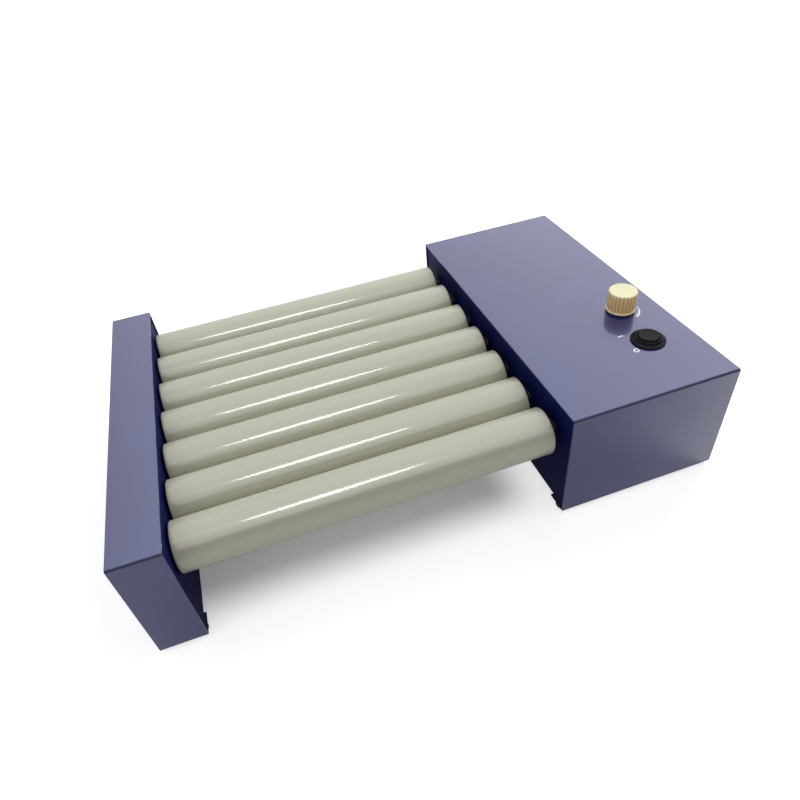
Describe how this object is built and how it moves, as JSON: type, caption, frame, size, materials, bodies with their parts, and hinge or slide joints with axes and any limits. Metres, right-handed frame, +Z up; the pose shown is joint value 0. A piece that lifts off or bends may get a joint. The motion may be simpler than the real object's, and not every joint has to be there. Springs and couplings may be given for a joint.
{
  "type": "tube roller mixer",
  "caption": "Bench mixer: parallel grey rollers turn between blue sheet-metal housings; the wider one holds the geared drive, with a speed knob and a push switch on top.",
  "frame": {"origin": "on the table, under the middle of the machine's plan outline", "axes": "+X along the rollers towards the drive housing, +Y from the front to the back, +Z up"},
  "size_m": [0.392, 0.254, 0.1047],
  "materials": {
    "blue_sheet": "glossy blue-violet powder coat on folded steel sheet",
    "grey_pipe": "smooth warm grey extruded pipe",
    "white_acetal": "moulded, semi-matt",
    "black_acetal": "moulded, semi-matt black",
    "ground_steel": "ground bright",
    "zinc_steel": "zinc plated",
    "black_rubber": "matt stick-on pads",
    "board_green": "solder-masked laminate",
    "nickel_brass": "nickel plated",
    "cream_plastic": "moulded cream plastic, satin",
    "black_plastic": "glossy moulded black",
    "dark_button": "glossy moulded near-black"
  },
  "bodies": {
    "frame": {"idler_gear_studs": "ground_steel", "drive_bushes": "black_acetal", "idler_bushes": "black_acetal", "drive_base": "blue_sheet", "drive_cover": "blue_sheet", "idler_base": "blue_sheet", "idler_cover": "blue_sheet", "tie_bars": "ground_steel", "tie_screws": "zinc_steel", "rubber_feet": "black_rubber", "pan_head_screws": "zinc_steel", "motor_bracket": "zinc_steel", "gear_motor": "zinc_steel", "control_board": "board_green", "board_standoffs": "nickel_brass", "speed_potentiometer": "zinc_steel", "potentiometer_nut": "nickel_brass", "power_switch": "black_plastic", "switch_nut": "black_plastic", "power_inlet": "black_plastic", "inlet_pins": "nickel_brass"},
    "roller_1": {"roller_1_sleeve": "grey_pipe", "roller_1_plugs": "black_acetal", "roller_1_shaft": "ground_steel", "roller_1_gear": "white_acetal"},
    "roller_2": {"roller_2_sleeve": "grey_pipe", "roller_2_plugs": "black_acetal", "roller_2_shaft": "ground_steel", "roller_2_gear": "white_acetal"},
    "roller_3": {"roller_3_sleeve": "grey_pipe", "roller_3_plugs": "black_acetal", "roller_3_shaft": "ground_steel", "roller_3_gear": "white_acetal"},
    "roller_4": {"roller_4_sleeve": "grey_pipe", "roller_4_plugs": "black_acetal", "roller_4_shaft": "ground_steel", "roller_4_gear": "white_acetal"},
    "roller_5": {"roller_5_sleeve": "grey_pipe", "roller_5_plugs": "black_acetal", "roller_5_shaft": "ground_steel", "roller_5_gear": "white_acetal"},
    "roller_6": {"roller_6_sleeve": "grey_pipe", "roller_6_plugs": "black_acetal", "roller_6_shaft": "ground_steel", "roller_6_gear": "white_acetal"},
    "roller_7": {"roller_7_sleeve": "grey_pipe", "roller_7_plugs": "black_acetal", "roller_7_shaft": "ground_steel", "roller_7_gear": "white_acetal"},
    "idler_1": {"idler_gear_1": "white_acetal"},
    "idler_2": {"idler_gear_2": "white_acetal"},
    "idler_3": {"idler_gear_3": "white_acetal"},
    "idler_4": {"idler_gear_4": "white_acetal"},
    "idler_5": {"idler_gear_5": "white_acetal"},
    "idler_6": {"idler_gear_6": "white_acetal"},
    "pinion": {"motor_pinion": "ground_steel"},
    "knob": {"speed_knob": "cream_plastic", "speed_spindle": "ground_steel"},
    "button": {"switch_button": "dark_button"}
  },
  "joints": [
    {"name": "roller_1_spin", "type": "hinge", "parent": "frame", "child": "roller_1", "pos_m": [0, -0.102, 0.061], "axis": [1, 0, 0], "continuous": true},
    {"name": "roller_2_spin", "type": "hinge", "parent": "frame", "child": "roller_2", "pos_m": [0, -0.068, 0.061], "axis": [1, 0, 0], "continuous": true},
    {"name": "roller_3_spin", "type": "hinge", "parent": "frame", "child": "roller_3", "pos_m": [0, -0.034, 0.061], "axis": [1, 0, 0], "continuous": true},
    {"name": "roller_4_spin", "type": "hinge", "parent": "frame", "child": "roller_4", "pos_m": [0, 0, 0.061], "axis": [1, 0, 0], "continuous": true},
    {"name": "roller_5_spin", "type": "hinge", "parent": "frame", "child": "roller_5", "pos_m": [0, 0.034, 0.061], "axis": [1, 0, 0], "continuous": true},
    {"name": "roller_6_spin", "type": "hinge", "parent": "frame", "child": "roller_6", "pos_m": [0, 0.068, 0.061], "axis": [1, 0, 0], "continuous": true},
    {"name": "roller_7_spin", "type": "hinge", "parent": "frame", "child": "roller_7", "pos_m": [0, 0.102, 0.061], "axis": [1, 0, 0], "continuous": true},
    {"name": "idler_1_spin", "type": "hinge", "parent": "frame", "child": "idler_1", "pos_m": [0.09, -0.085, 0.05046], "axis": [1, 0, 0], "continuous": true},
    {"name": "idler_2_spin", "type": "hinge", "parent": "frame", "child": "idler_2", "pos_m": [0.09, -0.051, 0.05046], "axis": [1, 0, 0], "continuous": true},
    {"name": "idler_3_spin", "type": "hinge", "parent": "frame", "child": "idler_3", "pos_m": [0.09, -0.017, 0.05046], "axis": [1, 0, 0], "continuous": true},
    {"name": "idler_4_spin", "type": "hinge", "parent": "frame", "child": "idler_4", "pos_m": [0.09, 0.017, 0.05046], "axis": [1, 0, 0], "continuous": true},
    {"name": "idler_5_spin", "type": "hinge", "parent": "frame", "child": "idler_5", "pos_m": [0.09, 0.051, 0.05046], "axis": [1, 0, 0], "continuous": true},
    {"name": "idler_6_spin", "type": "hinge", "parent": "frame", "child": "idler_6", "pos_m": [0.09, 0.085, 0.05046], "axis": [1, 0, 0], "continuous": true},
    {"name": "pinion_spin", "type": "hinge", "parent": "frame", "child": "pinion", "pos_m": [0.1, 0.02847, 0.03408], "axis": [1, 0, 0], "continuous": true},
    {"name": "speed_turn", "type": "hinge", "parent": "frame", "child": "knob", "pos_m": [0.1675, -0.0376, 0.09], "axis": [0, 0, 1], "range_deg": [-300, 0]},
    {"name": "switch_press", "type": "slide", "parent": "frame", "child": "button", "axis": [0, 0, 1], "range_m": [-0.003, 0], "stiffness_N_per_m": 500}
  ],
  "couplings": [
    {"joint": "roller_1_spin", "follows": "roller_4_spin", "ratio": 1},
    {"joint": "roller_2_spin", "follows": "roller_4_spin", "ratio": 1},
    {"joint": "roller_3_spin", "follows": "roller_4_spin", "ratio": 1},
    {"joint": "roller_5_spin", "follows": "roller_4_spin", "ratio": 1},
    {"joint": "roller_6_spin", "follows": "roller_4_spin", "ratio": 1},
    {"joint": "roller_7_spin", "follows": "roller_4_spin", "ratio": 1},
    {"joint": "idler_1_spin", "follows": "roller_4_spin", "ratio": -1},
    {"joint": "idler_2_spin", "follows": "roller_4_spin", "ratio": -1},
    {"joint": "idler_3_spin", "follows": "roller_4_spin", "ratio": -1},
    {"joint": "idler_4_spin", "follows": "roller_4_spin", "ratio": -1},
    {"joint": "idler_5_spin", "follows": "roller_4_spin", "ratio": -1},
    {"joint": "idler_6_spin", "follows": "roller_4_spin", "ratio": -1},
    {"joint": "pinion_spin", "follows": "roller_4_spin", "ratio": 1}
  ]
}
